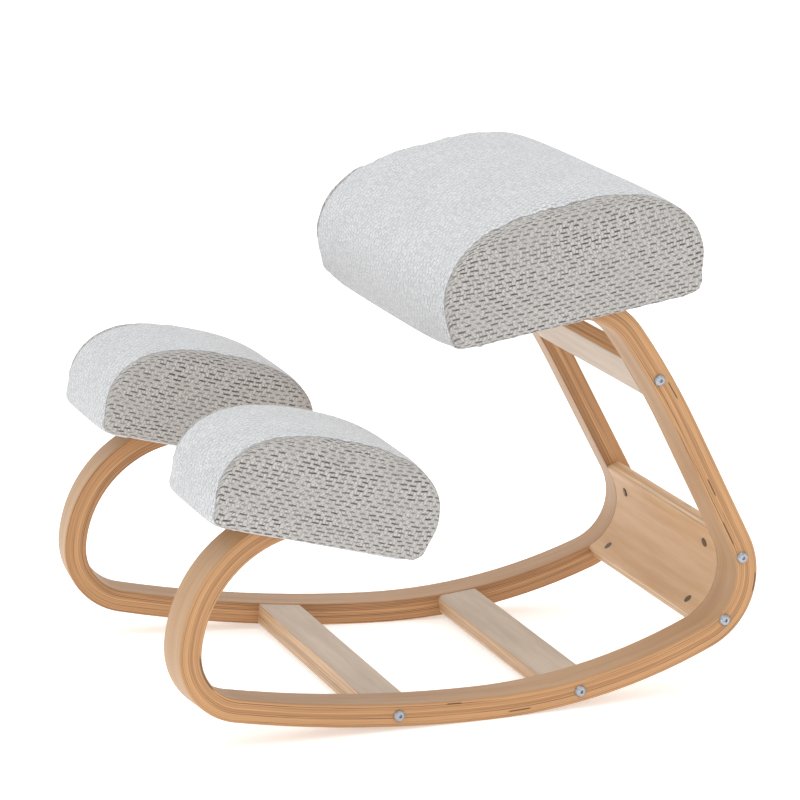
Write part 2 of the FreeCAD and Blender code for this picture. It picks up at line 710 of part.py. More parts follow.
def outline_edges(rings):
    """The outline's arcs and its straight base, in order round the pad."""
    rear, front = rings

    def arcs(points):
        return [(points[k], points[k + 1], points[k + 2]) for k in range(0, len(points) - 2, 2)]

    def wall(ring):
        top, foot = ring["quarter"][0], ring["wall"]
        middle = ((top[0] + foot[0]) / 2 + (top[0] - foot[0]) * 0.25, (top[1] + foot[1]) / 2)
        return top, middle, foot

    edges = [(rear["foot"], rear["corner"], rear["wall"]), wall(rear)[::-1]]
    edges += arcs(rear["quarter"])
    edges += [e[::-1] for e in reversed(arcs(front["quarter"]))]
    edges += [wall(front), (front["wall"], front["corner"], front["foot"])]
    return edges, (front["foot"], rear["foot"])


# Sections across a pad: place as a share of the half width, and how far the outline has drawn in there.
PAD_SECTIONS = ((-1.0, 1.0), (-0.85, 0.5), (-0.5, 0.06), (0.0, 0.0), (0.5, 0.06), (0.85, 0.5), (1.0, 1.0))


def pad_loft(body, kind, dims, grow, width_size):
    """Lofts the pad's outline through its sections. grow is how far inside the cover it lies."""
    front, rear, height, widest, middle, drop = dims
    half = size(width_size) / 2 - grow
    sections = []
    for number, (place, drawn) in enumerate(PAD_SECTIONS, start=1):
        offset = Placement(Vector(middle, -drop, place * half), Rotation())
        section = new_sketch(body, f"Outline{number}", "YZ_Plane", offset)
        share = 1 - drawn * (1 - size("end_draw_in"))
        edges, base = outline_edges(pad_outline(front, rear, height, widest, share, grow))
        for a, b, c in edges:
            arc = Part.Arc(*flat([a, b, c]))
            section.addGeometry(arc, False)
        section.addGeometry(Part.LineSegment(*flat(base)), False)
        section.setExpression("AttachmentOffset.Base.z", f"{place} * (Sizes.{width_size} / 2 - {grow})")
        sections.append(section)
    doc.recompute()
    loft = body.newObject(f"PartDesign::{kind}Loft", "Loft")
    loft.Profile = sections[0]
    loft.Sections = sections[1:]
    loft.Ruled = False
    doc.recompute()
    return loft


def add_recess_outline(sketch, length, width, corner):
    """A rectangle with rounded corners, centred on the sketch's origin."""
    x, y = width / 2 - corner, length / 2 - corner
    for cx, cy, turn in ((x, y, 0), (-x, y, 90), (-x, -y, 180), (x, -y, 270)):
        circle = Part.Circle(Vector(cx, cy, 0), Vector(0, 0, 1), corner)
        sketch.addGeometry(Part.ArcOfCircle(circle, math.radians(turn), math.radians(turn + 90)), False)
    for k in range(4):
        a, b = sketch.Geometry[k].EndPoint, sketch.Geometry[(k + 1) % 4].StartPoint
        sketch.addGeometry(Part.LineSegment(a, b), False)
        sketch.addConstraint(Sketcher.Constraint("Coincident", k, 2, 4 + k, 1))
        sketch.addConstraint(Sketcher.Constraint("Coincident", 4 + k, 2, (k + 1) % 4, 1))


def make_pad(name, frame, holes):
    """Board, foam and cover of one pad. holes are the screws' places in the chair's frame."""
    kind = "seat" if name == "seat" else "knee"
    front, rear = size(f"{kind}_front"), size(f"{kind}_rear")
    middle = -size(f"{kind}_forward")
    drop = size(f"{kind}_drop")
    dims = (front, rear, size(f"{kind}_height"), size(f"{kind}_widest"), middle, drop)
    share = size("end_draw_in")
    length = (front + rear) * share - 2 * size("rim_thickness")
    width = size(f"{kind}_width") - 2 * size(f"{kind}_side_rim")
    centre = middle + (rear - front) / 2
    at_board = Placement(Vector(0, centre, 0), Rotation())
    at_base = Placement(Vector(0, centre, -drop), Rotation())

    board = new_body(f"{name}_board", frame)
    outline = new_sketch(board, "Outline", "XY_Plane", at_board)
    add_recess_outline(outline, length, width, size("board_corner"))
    pad(board, outline, "Sizes.board_thickness")
    back = frame.inverse()
    for number, place in enumerate(holes, start=1):
        local = back.multVec(place.Base)
        flange_floor = size("board_thickness") - size("tee_flange_thickness")
        for tag, level, across, value, depth in (
            ("Barrel", 0, "Sizes.tee_barrel_across", size("tee_barrel_across"), "Sizes.board_thickness"),
            ("Flange", flange_floor, "Sizes.tee_flange_across", size("tee_flange_across"),
             "Sizes.tee_flange_thickness"),
        ):
            at_hole = Placement(Vector(local.x, local.y, level), Rotation())
            hole = new_sketch(board, f"{tag}{number}", "XY_Plane", at_hole)
            add_circles(hole, [(0, 0)], across, value)
            cut(board, hole, depth, f"{tag}{number}Cut", flip=True)

    foam = new_body(f"{name}_foam", frame)
    pad_loft(foam, "Additive", dims, size("cover_thickness"), f"{kind}_width")
    recess = new_sketch(foam, "Recess", "XY_Plane", at_base)
    add_recess_outline(recess, length, width, size("board_corner"))
    cut(foam, recess, f"Sizes.{kind}_drop + Sizes.board_thickness", "RecessCut", flip=True)

    cover = new_body(f"{name}_cover", frame)
    pad_loft(cover, "Additive", dims, 0, f"{kind}_width")
    pad_loft(cover, "Subtractive", dims, size("cover_thickness"), f"{kind}_width")
    opening = new_sketch(cover, "Opening", "XY_Plane", at_base)
    add_recess_outline(opening, length, width, size("board_corner"))
    cut(cover, opening, f"Sizes.{kind}_drop", "OpeningCut", flip=True)


make_rail("left_rail", 1)
make_rail("right_rail", -1)
make_board("front_slat", front_slat_seat, "slat_depth", "slat_thickness", "front_slat_round")
make_board("middle_slat", middle_slat_seat, "slat_depth", "slat_thickness", "middle_slat_round")
make_board("top_brace", top_brace_seat, "top_brace_height", "top_brace_thickness", "top_brace_round")
make_back_brace()

frame_screw = make_screw("frame_screw", size("rail_width") + size("nut_inset") + size("screw_past_nut"))
nut_r, nut_half = size("barrel_nut_across") / 2, size("barrel_nut_length") / 2
barrel_nut = revolved("barrel_nut", [(0, -nut_half), (nut_r, -nut_half), (nut_r, nut_half), (0, nut_half)])
thread = new_sketch(barrel_nut, "Thread", "YZ_Plane")
thread_across = size("screw_shank") + size("thread_play")
add_circles(thread, [(0, 0)], "Sizes.screw_shank + Sizes.thread_play", thread_across)
cut(barrel_nut, thread, name="ThreadCut", both=True)
dowel_r, dowel_half = size("dowel_across") / 2, size("dowel_length") / 2
dowel = revolved(
    "dowel",
    [(0, -dowel_half), (dowel_r - 1, -dowel_half), (dowel_r, 1 - dowel_half), (dowel_r, dowel_half - 1),
     (dowel_r - 1, dowel_half), (0, dowel_half)],
)

for label, points in SCREWS.items():
    heads = [
        Placement(on_rail(side, p), Rotation(Vector(0, 0, 1), outward_of(side)))
        for side in (1, -1)
        for p in points
    ]
    make_group(f"{label}_screws", frame_screw, heads)
    make_group(f"{label}_barrel_nuts", barrel_nut, NUTS[label][1] + NUTS[label][-1])
for label, points in DOWELS.items():
    pins = [
        Placement(on_rail(side, p, size("rail_width")), Rotation(Vector(0, 0, 1), outward_of(side)))
        for side in (1, -1)
        for p in points
    ]
    make_group(f"{label}_dowels", dowel, pins)

through_rail = size("rail_thickness") - size("counterbore_deep") - size("washer_thickness")
pad_screw = make_screw("pad_screw", through_rail + size("board_gap") + size("board_thickness") - 1)
washer_r = size("washer_across") / 2
hole_r = (size("screw_shank") + size("screw_clearance")) / 2
washer_top = size("washer_thickness")
washer = revolved("washer", [(hole_r, 0), (washer_r, 0), (washer_r, washer_top), (hole_r, washer_top)])
tee_hole = thread_across / 2
tee_under_flange = -size("tee_flange_thickness")
tee_end = tee_under_flange - size("tee_barrel_length")
tee_flange, tee_barrel = size("tee_flange_across") / 2, size("tee_barrel_across") / 2
tee_nut = revolved(
    "tee_nut",
    [(tee_hole, 0), (tee_flange, 0), (tee_flange, tee_under_flange),
     (tee_barrel, tee_under_flange), (tee_barrel, tee_end), (tee_hole, tee_end)],
)


def make_fixings(name, frame, places):
    """Screws, washers and tee nuts of one pad, from the screws' places at the counterbores' floors."""
    washers, screws, nuts = [], [], []
    for place in places:
        washers.append(place)
        screws.append(place.multiply(Placement(Vector(0, 0, size("washer_thickness")), Rotation())))
        local = frame.inverse().multVec(place.Base)
        flush = Vector(local.x, local.y, size("board_thickness"))
        nuts.append(frame.multiply(Placement(flush, Rotation())))
    make_group(f"{name}_screws", pad_screw, screws)
    make_group(f"{name}_washers", washer, washers)
    make_group(f"{name}_tee_nuts", tee_nut, nuts)


seat_frame_place = pad_frame("seat_tongue", True, 0)
seat_holes = [pad_screw_place(side, hole) for side in (1, -1) for hole in SEAT_SCREWS]
make_pad("seat", seat_frame_place, seat_holes)
make_fixings("seat", seat_frame_place, seat_holes)
for name, side in (("left_knee", 1), ("right_knee", -1)):
    knee_x = on_rail(side, RAIL["knee_tongue"]["start"], size("rail_width") / 2).x
    knee_place = pad_frame("knee_tongue", False, knee_x)
    knee_holes = [pad_screw_place(side, hole) for hole in KNEE_SCREWS]
    make_pad(name, knee_place, knee_holes)
    make_fixings(name, knee_place, knee_holes)

doc.recompute()
for item in doc.Objects:
    if {"Invalid", "Error"} & set(item.State):
        raise RuntimeError(f"{item.Label} failed: {item.State}")
os.makedirs("parts", exist_ok=True)
for piece in KEPT:
    shape = piece.Shape
    if shape.isNull() or not shape.isValid():
        raise RuntimeError(f"{piece.Label} has no valid shape")
    shape.exportStep(f"parts/{piece.Label}.step")
    print(f"{piece.Label}: {len(shape.Solids)} solids, {shape.Volume / 1000:.1f} cm3")
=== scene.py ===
"""Looks for the rocking kneeling chair.

Metres, +Z up. The chair faces -Y and +X is the sitter's left. Every piece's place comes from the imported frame.
"""
import math

import bmesh
import bpy
import numpy as np
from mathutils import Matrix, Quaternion, Vector


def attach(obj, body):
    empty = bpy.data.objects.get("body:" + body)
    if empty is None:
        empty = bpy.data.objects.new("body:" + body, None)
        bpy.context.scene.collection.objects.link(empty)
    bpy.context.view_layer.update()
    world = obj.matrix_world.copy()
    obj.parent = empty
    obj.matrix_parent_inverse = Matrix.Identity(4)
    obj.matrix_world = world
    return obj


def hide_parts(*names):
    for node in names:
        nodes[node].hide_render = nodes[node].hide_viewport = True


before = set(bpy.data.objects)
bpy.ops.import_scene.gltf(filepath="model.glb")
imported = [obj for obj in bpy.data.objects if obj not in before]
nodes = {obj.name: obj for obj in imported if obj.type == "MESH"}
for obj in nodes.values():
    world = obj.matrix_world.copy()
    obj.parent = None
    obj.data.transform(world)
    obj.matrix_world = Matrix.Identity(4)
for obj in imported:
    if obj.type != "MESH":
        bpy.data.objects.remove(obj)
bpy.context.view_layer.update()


# Two rails. Each is one strip of thin veneers glued flat on flat and bent in a mould into a single open loop,
# sawn to 48 mm, its edges rounded and the whole clear lacquered. The veneers' edges show on the sides.

# The route in the rail's own plane, as part.py has it: length and 0 for a straight, radius and turn for a bend.
RAIL_ROUTE = (
    (0.072, 0),  # seat tongue
    (0.080, 64.3),
    (0.890, 8.4),
    (0.145, 0),  # rear leg
    (0.0744, 94.2),
    (0.655, 23.2),  # heel of the runner
    (1.524, 11.05),
    (0.0646, 83.5),
    (0.139, 71),  # rise to the knee pad
    (0.060, 28),
    (0.066, 0),  # knee tongue
)
ROUTE_START = (0.0342, 0.4271)
ROUTE_HEADING = 9.83
TOE = math.radians(5.26)
HALF_OUTER_WIDTH = 0.231
RAIL_THICKNESS = 0.025
RAIL_WIDTH = 0.048


def linear(red, green, blue):
    """A screen colour of 0 to 255 as the linear colour that a shader takes."""
    def channel(value):
        value /= 255
        return value / 12.92 if value <= 0.04045 else ((value + 0.055) / 1.055) ** 2.4

    return channel(red), channel(green), channel(blue), 1.0


def positions(mesh):
    """A mesh's vertices, as an array of rows of three."""
    flat = np.empty(len(mesh.vertices) * 3, np.float32)
    mesh.vertices.foreach_get("co", flat)
    return flat.reshape(-1, 3).astype(float)


def face_values(mesh):
    """Each face's normal and area."""
    normals = np.empty(len(mesh.polygons) * 3, np.float32)
    areas = np.empty(len(mesh.polygons), np.float32)
    mesh.polygons.foreach_get("normal", normals)
    mesh.polygons.foreach_get("area", areas)
    return normals.reshape(-1, 3).astype(float), areas.astype(float)


def face_middles(mesh):
    middles = np.empty(len(mesh.polygons) * 3, np.float32)
    mesh.polygons.foreach_get("center", middles)
    return middles.reshape(-1, 3).astype(float)


def route_coordinates(u, z):
    """For points of the rail's plane: distance along the strip, distance out from its middle, and the way out."""
    along, out = np.zeros(len(u)), np.zeros(len(u))
    way = np.zeros((len(u), 2))
    best = np.full(len(u), np.inf)
    (a, b), heading, run = ROUTE_START, ROUTE_HEADING, 0.0
    for reach, turn in RAIL_ROUTE:
        ahead = np.array([math.cos(math.radians(heading)), math.sin(math.radians(heading))])
        left = np.array([-ahead[1], ahead[0]])
        if turn == 0:
            offset = np.column_stack([u - a, z - b])
            travel, level, length = offset @ ahead, offset @ left, reach
            outward = np.repeat(left[None], len(u), 0)
            a, b = a + ahead[0] * length, b + ahead[1] * length
        else:
            ca, cb = a - left[0] * reach, b - left[1] * reach
            offset = np.column_stack([u - ca, z - cb])
            distance = np.hypot(offset[:, 0], offset[:, 1]) + 1e-12
            travel = np.arctan2(offset @ ahead, offset @ left) * reach
            level, length = distance - reach, reach * math.radians(turn)
            outward = offset / distance[:, None]
            heading -= turn
            a = ca - math.sin(math.radians(heading)) * reach
            b = cb + math.cos(math.radians(heading)) * reach
        # A point belongs to the stretch that it lies nearest to, and lying past a stretch's end counts threefold.
        beyond = np.maximum(0, np.maximum(-travel, travel - length))
        cost = np.abs(level) + 3 * beyond
        near = cost < best
        best[near], along[near], out[near], way[near] = cost[near], run + travel[near], level[near], outward[near]
        run += length
    return along, out, way


def in_rail_plane(points, side):
    """Points as the rail sees them: u along the chair, z up, and inset from the rail's outer face."""
    x, y = points[:, 0] - side * HALF_OUTER_WIDTH, points[:, 1]
    turn = side * TOE
    u = -x * math.sin(turn) + y * math.cos(turn)
    inset = -side * (x * math.cos(turn) + y * math.sin(turn))
    return u, points[:, 2], inset


def mark(mesh, name, kind, domain, values):
    """Keeps numbers on a mesh for its shader to read."""
    kept = mesh.attributes.new(name, kind, domain)
    kept.data.foreach_set("vector" if kind == "FLOAT_VECTOR" else "value", values.astype(np.float32).ravel())


def set_grain(mesh, along, across, through, edge):
    """What the wood shader reads: a place along, across and through the wood, and which faces show ply edges."""
    mark(mesh, "grain", "FLOAT_VECTOR", "POINT", np.column_stack([along, across, through]))
    mark(mesh, "ply_edge", "FLOAT", "FACE", edge)


def dress(node, material):
    node.data.materials.clear()
    node.data.materials.append(material)


class Shader:
    """A material, and a short way to add its nodes and join them."""

    def __init__(self, name):
        self.material = bpy.data.materials.new(name)
        self.material.use_nodes = True
        self.tree = self.material.node_tree
        self.surface = self.tree.nodes["Principled BSDF"]

    def put(self, socket, value):
        if isinstance(value, bpy.types.NodeSocket):
            self.tree.links.new(value, socket)
        else:
            socket.default_value = value

    def add(self, kind, inputs=None, **settings):
        node = self.tree.nodes.new(kind)
        for key, value in settings.items():
            setattr(node, key, value)
        for key, value in (inputs or {}).items():
            self.put(node.inputs[key], value)
        return node

    def math(self, operation, *values):
        node = self.add("ShaderNodeMath", operation=operation)
        for socket, value in zip(node.inputs, values):
            self.put(socket, value)
        return node.outputs[0]

    def times(self, a, b):
        return self.math("MULTIPLY", a, b)

    def centred(self, value):
        """A noise of 0 to 1 as one of -0.5 to 0.5."""
        return self.math("SUBTRACT", value, 0.5)

    def apart(self, a, b):
        """The distance between two numbers."""
        return self.math("ABSOLUTE", self.math("SUBTRACT", a, b))

    def vector(self, x, y, z):
        return self.add("ShaderNodeCombineXYZ", {"X": x, "Y": y, "Z": z}).outputs[0]

    def split(self, attribute):
        """An attribute's three numbers."""
        read = self.add("ShaderNodeAttribute", attribute_name=attribute)
        parts = self.add("ShaderNodeSeparateXYZ", {"Vector": read.outputs["Vector"]})
        return parts.outputs[0], parts.outputs[1], parts.outputs[2]

    def value(self, attribute):
        return self.add("ShaderNodeAttribute", attribute_name=attribute).outputs["Fac"]

    def noise(self, place, scale=1.0, detail=2.0, roughness=0.5):
        """Soft noise of 0 to 1. A greater scale is finer."""
        inputs = {"Vector": place, "Scale": scale, "Detail": detail, "Roughness": roughness}
        return self.add("ShaderNodeTexNoise", inputs).outputs[0]

    def chance(self, *place):
        """A steady random number for each whole-number place."""
        inputs = dict(zip(("X", "Y", "Z"), place))
        spot = self.add("ShaderNodeCombineXYZ", inputs).outputs[0]
        return self.add("ShaderNodeTexWhiteNoise", {"Vector": spot}, noise_dimensions="3D").outputs[0]

    def ramp(self, value, low, high, to_low=0.0, to_high=1.0):
        """A soft step from low to high."""
        inputs = {0: value, 1: low, 2: high, 3: to_low, 4: to_high}
        return self.add("ShaderNodeMapRange", inputs, interpolation_type="SMOOTHSTEP").outputs[0]

    def mix(self, share, a, b, blend="MIX"):
        inputs = {0: share, 6: a, 7: b}
        return self.add("ShaderNodeMix", inputs, data_type="RGBA", blend_type=blend).outputs[2]

    def shade(self, colour, factor):
        """A colour made lighter or darker by a factor."""
        grey = self.vector(factor, factor, factor)
        return self.mix(1.0, colour, grey, "MULTIPLY")

    def finish(self, colour, roughness, height=None, depth=0.0005, strength=0.5):
        self.put(self.surface.inputs["Base Color"], colour)
        self.put(self.surface.inputs["Roughness"], roughness)
        if height is not None:
            inputs = {"Height": height, "Distance": depth, "Strength": strength}
            bump = self.add("ShaderNodeBump", inputs)
            self.put(self.surface.inputs["Normal"], bump.outputs[0])
        return self.material


GAP_FULL, GAP_FADED = 0.0004, 0.0011  # an open joint is dark up to the first, and gone at the second


def plywood(name, plies, thickness, veneer, edge, seed, streaks=1.0, gaps=()):
    """Veneer on the faces and the plies' edges on the sides.

    veneer holds the face's two tones, and edge the plies' two tones and the glue's. streaks is how strong the glue
    lines are. gaps are long open glue joints: where each starts and ends along the wood, and its level.
    """
    sh = Shader(name)
    along, across, through = sh.split("grain")
    shows = sh.value("ply_edge")

    # The ply that a point is in, and its distance from the nearest glue joint in plies, with a slight drift.
    drift = sh.noise(sh.vector(sh.times(along, 7.0), across, seed), detail=1.0)
    level = sh.math("MULTIPLY_ADD", through, plies / thickness, plies / 2 + seed * 10)
    level = sh.math("MULTIPLY_ADD", sh.centred(drift), 0.5, level)
    tint = sh.chance(sh.math("FLOOR", level), seed, 0.0)
    joint = sh.math("ROUND", level)
    away = sh.apart(level, joint)

    # Glue lines fade in and out along the wood, some joints hardly show, and a few stand open for a short way.
    wandering = sh.noise(sh.vector(sh.times(along, 6.0), sh.times(joint, 7.31), seed), detail=3.0)
    strong = sh.times(sh.ramp(sh.chance(joint, seed, 3.0), 0.15, 0.75), sh.ramp(wandering, 0.34, 0.60))
    glue_line = sh.times(sh.ramp(away, 0.36, 0.10), sh.times(strong, 0.95 * streaks))
    open_joint = sh.times(sh.ramp(away, 0.3, 0.12), sh.ramp(wandering, 0.66, 0.72))
    for start, end, middle in gaps:
        lengthwise = sh.ramp(sh.apart(along, (start + end) / 2), (end - start) / 2, (end - start) / 3)
        inside = sh.times(lengthwise, sh.ramp(sh.apart(through, middle), GAP_FADED, GAP_FULL))
        open_joint = sh.math("MAXIMUM", open_joint, inside)

    # The sides: sawn fibres, much longer than they are thick.
    fibres = sh.noise(sh.vector(sh.times(along, 14.0), sh.times(across, 500.0), sh.times(through, 900.0)))
    edge_tone = sh.mix(tint, linear(*edge[0]), linear(*edge[1]))
    edge_tone = sh.shade(edge_tone, sh.ramp(fibres, 0.3, 0.7, 0.9, 1.06))
    edge_tone = sh.mix(glue_line, edge_tone, linear(*edge[2]))
    edge_tone = sh.mix(sh.times(open_joint, 0.85), edge_tone, linear(62, 42, 30))

    # The faces: the veneer's broad figure, and short dark flecks along the grain.
    figure_at = sh.vector(sh.times(along, 5.0), sh.times(across, 60.0), seed)
    figure = sh.noise(figure_at, detail=3.0, roughness=0.6)
    flecks = sh.noise(sh.vector(sh.times(along, 60.0), sh.times(across, 1400.0), seed), detail=1.0)
    face_tone = sh.mix(sh.ramp(figure, 0.3, 0.7), linear(*veneer[0]), linear(*veneer[1]))
    face_tone = sh.shade(face_tone, sh.ramp(flecks, 0.25, 0.45, 0.95, 1.0))

    colour = sh.mix(shows, face_tone, edge_tone)
    height = sh.math("SUBTRACT", sh.times(fibres, 0.3), sh.times(open_joint, shows))
    return sh.finish(colour, sh.ramp(fibres, 0.2, 0.8, 0.42, 0.55), height, depth=0.0004, strength=0.35)


RAIL_PLIES = 15
RAIL_VENEER = ((172, 134, 96), (184, 148, 111))
RAIL_EDGE = ((171, 124, 80), (197, 150, 102), (98, 62, 36))
NEAR_RAIL_GAPS = (
    (0.228, 0.254, 0.0050),
    (0.350, 0.375, -0.0036),
    (0.402, 0.437, -0.0088),
    (0.472, 0.494, 0.0098),
    (0.778, 0.808, 0.0057),
    (0.860, 0.880, -0.0096),
    (1.155, 1.212, -0.0104),
)
SIDE_FACE = 0.7  # a face shows ply edges where it looks sideways by more than this
for label, side, seed, gaps in (("left_rail", 1, 3.0, NEAR_RAIL_GAPS), ("right_rail", -1, 8.0, ())):
    mesh = nodes[label].data
    u, z, inset = in_rail_plane(positions(mesh), side)
    along, out, _ = route_coordinates(u, z)
    sideways = face_values(mesh)[0] @ np.array([side * math.cos(TOE), math.sin(TOE), 0.0])
    set_grain(mesh, along, inset, out, np.abs(sideways) > SIDE_FACE)
    wood = plywood(label, RAIL_PLIES, RAIL_THICKNESS, RAIL_VENEER, RAIL_EDGE, seed, gaps=gaps)
    dress(nodes[label], wood)


# Two slats and a top brace between the rails. Each is a straight strip of birch plywood with eased long edges,
# butted on the rails' inner faces and held at each end by two dowels and a connecting screw.


def flat_frame(mesh):
    """A flat board's middle, and the ways across it and through its thickness. Its length is along X."""
    normals, areas = face_values(mesh)
    through = np.linalg.eigh((normals * areas[:, None]).T @ normals)[1][:, -1]
    through[0] = 0
    through *= np.sign(through[2]) / np.linalg.norm(through)
    across = np.cross(through, [1.0, 0.0, 0.0])
    points = positions(mesh)
    middle = (points.min(0) + points.max(0)) / 2
    levels = (points - middle) @ through
    return middle + through * (levels.min() + levels.max()) / 2, across, through


CROSS_VENEER = ((184, 166, 148), (200, 183, 164))
CROSS_EDGE = ((190, 150, 110), (218, 187, 152), (112, 74, 46))
BROAD_FACE = 0.6  # a face shows ply edges where it looks through the thickness by less than this


def dress_board(label, thickness, plies, veneer, seed, streaks):
    """Plywood on a flat board, with its grain along X. Faces that don't look along its thickness show the plies."""
    mesh = nodes[label].data
    middle, across, through = flat_frame(mesh)
    offset = positions(mesh) - middle
    edges = np.abs(face_values(mesh)[0] @ through) < BROAD_FACE
    set_grain(mesh, offset[:, 0], offset @ across, offset @ through, edges)
    dress(nodes[label], plywood(label, plies, thickness, veneer, CROSS_EDGE, seed, streaks))


for label, thickness, plies, seed in (
    ("front_slat", 0.023, 13, 12.0),
    ("middle_slat", 0.023, 13, 17.0),
    ("top_brace", 0.020, 12, 21.0),
):
    dress_board(label, thickness, plies, CROSS_VENEER, seed, streaks=0.9)


# The back brace: a wide board of plywood moulded to the rails' rear bend. It lies flush inside the bend and
# stops the frame from racking. Its face veneer is birch with the grain across the chair.
BRACE_PLIES = 10
BRACE_THICKNESS = 0.016
BRACE_VENEER = ((198, 158, 116), (211, 175, 136))
# The brace's ply edge tones are paler than the other boards': partly the plies' own colour, partly a painted
# highlight for the brace's lit top edge.
BRACE_EDGE_WITH_HIGHLIGHT = ((200, 162, 122), (224, 197, 162), (150, 112, 78))
mesh = nodes["back_brace"].data


def brace_coordinates(points):
    """The brace seen in the plane of a rail: it follows the same route, at mid width of the rail."""
    u = (points[:, 1] + RAIL_WIDTH / 2 * math.sin(TOE)) / math.cos(TOE)
    return route_coordinates(u, points[:, 2])


round_bend, out, _ = brace_coordinates(positions(mesh))
normals = face_values(mesh)[0]
_, _, way_out = brace_coordinates(face_middles(mesh))
facing = np.abs(normals[:, 1] * way_out[:, 0] + normals[:, 2] * way_out[:, 1])
set_grain(mesh, positions(mesh)[:, 0], round_bend, out, facing < BROAD_FACE)
brace_wood = plywood("back_brace", BRACE_PLIES, BRACE_THICKNESS, BRACE_VENEER, BRACE_EDGE_WITH_HIGHLIGHT, seed=31.0, streaks=0.9)
dress(nodes["back_brace"], brace_wood)


# Frame fixings: button-head connecting screws in bright zinc, which run into steel barrel nuts set in the
# cross members, and fluted hardwood dowels, which are glued and hidden once the chair is together.


def metal(name, tone, roughness):
    """Plated steel: faint blotches in the plating and fine marks from the making."""
    sh = Shader(name)
    place = sh.add("ShaderNodeTexCoord").outputs["Object"]
    blotches = sh.noise(place, 420.0, 3.0)
    marks = sh.noise(place, 2600.0, 1.0)
    blotched = linear(*[channel * 0.88 for channel in tone])
    colour = sh.mix(sh.ramp(blotches, 0.3, 0.7), blotched, linear(*tone))
    sh.surface.inputs["Metallic"].default_value = 1.0
    dulled = sh.ramp(blotches, 0.3, 0.7, roughness, roughness + 0.12)
    return sh.finish(colour, dulled, marks, depth=0.0001, strength=0.2)


zinc = metal("bright_zinc", (176, 181, 188), 0.3)
dull_steel = metal("dull_steel", (112, 100, 88), 0.42)
DOWEL_VENEER = ((214, 184, 146), (224, 196, 160))
dowel_wood = plywood("dowel_wood", 1, 0.03, DOWEL_VENEER, RAIL_EDGE, seed=41.0, streaks=0.0)
for label, node in nodes.items():
    if label.endswith("_barrel_nuts"):
        dress(node, dull_steel)
    elif label.endswith(("_screws", "_washers", "_tee_nuts")):
        dress(node, zinc)
    elif label.endswith("_dowels"):
        points = positions(node.data)
        set_grain(node.data, points[:, 0], points[:, 1], points[:, 2], np.zeros(len(node.data.polygons)))
        dress(node, dowel_wood)


# Pad boards: plywood panels with rounded corners, drilled for tee nuts, which lie on the tongues of the rails.
# Only their undersides show, inside the recess under each pad.
BOARD_VENEER = ((202, 170, 130), (216, 188, 150))
for label, seed in (("seat_board", 51.0), ("left_knee_board", 55.0), ("right_knee_board", 58.0)):
    dress_board(label, 0.012, 7, BOARD_VENEER, seed, streaks=1.0)


# The seat and two knee pads: moulded foam on the boards, in sewn covers of a chunky woven fabric. One panel
# runs from the front edge over the crown to the back edge, and a D-shaped panel closes each side.
# The covers start a little small and are blown up under pressure, as the foam fills a real cover.

# What sets the pads apart: growth at the back, how far the front and side edges hang, and the weave's seed.
PADS = {
    "seat": {"rear_growth": 0.001, "front_sag": 0.010, "side_sag": 0.0032, "seed": 2.0},
    "left_knee": {"rear_growth": 0.0, "front_sag": 0.002, "side_sag": 0.0, "seed": 5.0},
    "right_knee": {"rear_growth": 0.0, "front_sag": 0.002, "side_sag": 0.0, "seed": 9.0},
}
VOXEL = 0.004  # size of the cover's faces
FRONT_GROWTH = 0.007
CROWN_BACK = 0.010  # the crown leans to the rear by this
CORNER = 0.025  # the cover's rounded lower corner, front and back
CORNER_DRAW_IN = 0.003
FRONT_CORNER_POWER, REAR_CORNER_POWER = 4.5, 3.0  # 2 is round, and more is fuller
END_DRAW_IN = 0.025  # a pad's front and back are drawn in towards its sides by this share
FRONT_SAG_REACH = 0.055  # the front edge hangs over this length
SIDE_SAG_REACH = 0.016
SAG_HEIGHT = 0.05  # and over this height of the sides
SHOULDER = 0.013  # reach of the rounding where the top turns into a side
SEAM_WRAP = (0.002, 0.014)  # the seam lies this far round the shoulder, at the base and more at the crown
COVER_SHRINK = 0.0008  # the cover starts smaller by this
SWELL_CAP = 0.0032  # and no point of it is blown out further than this
SIM_FRAMES = 20
FABRIC = 0.0016
FOAM_GAP = 0.0006
UNDERSIDE = 0.006  # what is lower than this is underside, for the recess's cut
RECESS_WALL_TOP = 0.0005  # just over the board's underside


def local_to(mesh):
    """A pad's own frame, from its board: a 3 by 3 array of its ways X, along and up, and the underside's middle."""
    middle, across, through = flat_frame(mesh)
    axes = np.array([[1.0, 0.0, 0.0], across, through])
    levels = (positions(mesh) - middle) @ through
    return axes, middle + through * levels.min()


def line_distance(points, line):
    """Distance of flat points from a line of points."""
    best = np.full(len(points), np.inf)
    for a, b in zip(line[:-1], line[1:]):
        step = b - a
        share = np.clip((points - a) @ step / max(step @ step, 1e-12), 0, 1)
        best = np.minimum(best, np.linalg.norm(points - a - share[:, None] * step, axis=1))
    return best


def hull_outline(points):
    """The convex outline of flat points, in order."""
    ordered = points[np.lexsort((points[:, 1], points[:, 0]))]

    def half(sequence):
        chain = []
        for p in sequence:
            while len(chain) > 1:
                d, e = chain[-1] - chain[-2], p - chain[-2]
                if d[0] * e[1] - d[1] * e[0] > 1e-12:
                    break
                chain.pop()
            chain.append(p)
        return chain[:-1]

    return np.array(half(ordered) + half(ordered[::-1]))


def over_the_top(outline):
    """A pad's outline without its flat underside, from one foot round over the crown to the other."""
    low = outline[:, 1] < outline[:, 1].min() + 0.001
    outline = outline[~(low & np.roll(low, 1) & np.roll(low, -1))]
    low = outline[:, 1] < outline[:, 1].min() + 0.001
    foot = int(np.argmax(low & np.roll(low, -1)))
    return np.roll(outline, -(foot + 1), axis=0)


def inside_outline(points, outline):
    """True for flat points inside a convex outline that runs anticlockwise."""
    within = np.ones(len(points), bool)
    for a, b in zip(outline, np.roll(outline, -1, axis=0)):
        d = b - a
        within &= d[0] * (points[:, 1] - a[1]) - d[1] * (points[:, 0] - a[0]) > 0
    return within


